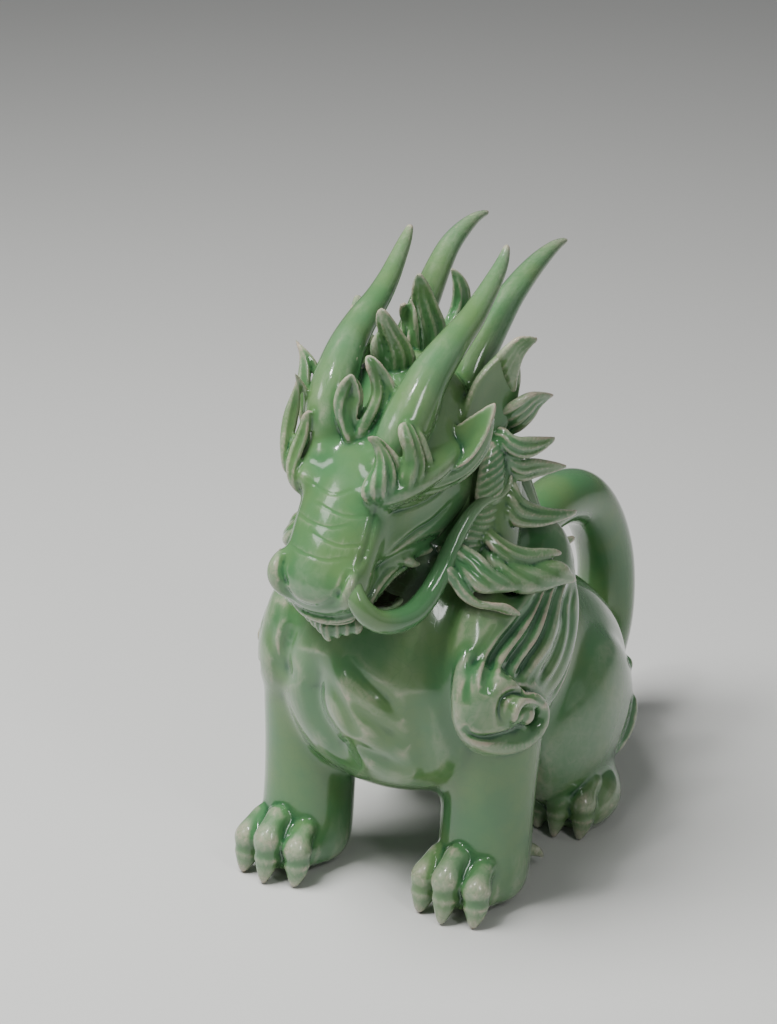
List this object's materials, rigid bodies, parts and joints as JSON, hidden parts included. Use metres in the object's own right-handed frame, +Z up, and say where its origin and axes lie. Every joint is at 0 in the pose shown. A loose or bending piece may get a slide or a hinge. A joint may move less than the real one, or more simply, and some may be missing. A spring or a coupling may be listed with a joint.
{
  "type": "qilin figure",
  "caption": "Seated qilin in pale green crackled glaze, bowed dragon head with swept-back horns, long whiskers, flame locks and an arched tail.",
  "frame": {"origin": "on the floor, under the middle of the figure's bounding box", "axes": "+Z up, the animal faces -Y, +X is the animal's own left side"},
  "size_m": [0.1414, 0.2786, 0.2855],
  "materials": {
    "celadon_glaze": "glossy pale green crackled glaze over stoneware, darker where it pools and paler on the edges"
  },
  "bodies": {
    "root": {"qilin_figure": "celadon_glaze"}
  },
  "joints": []
}
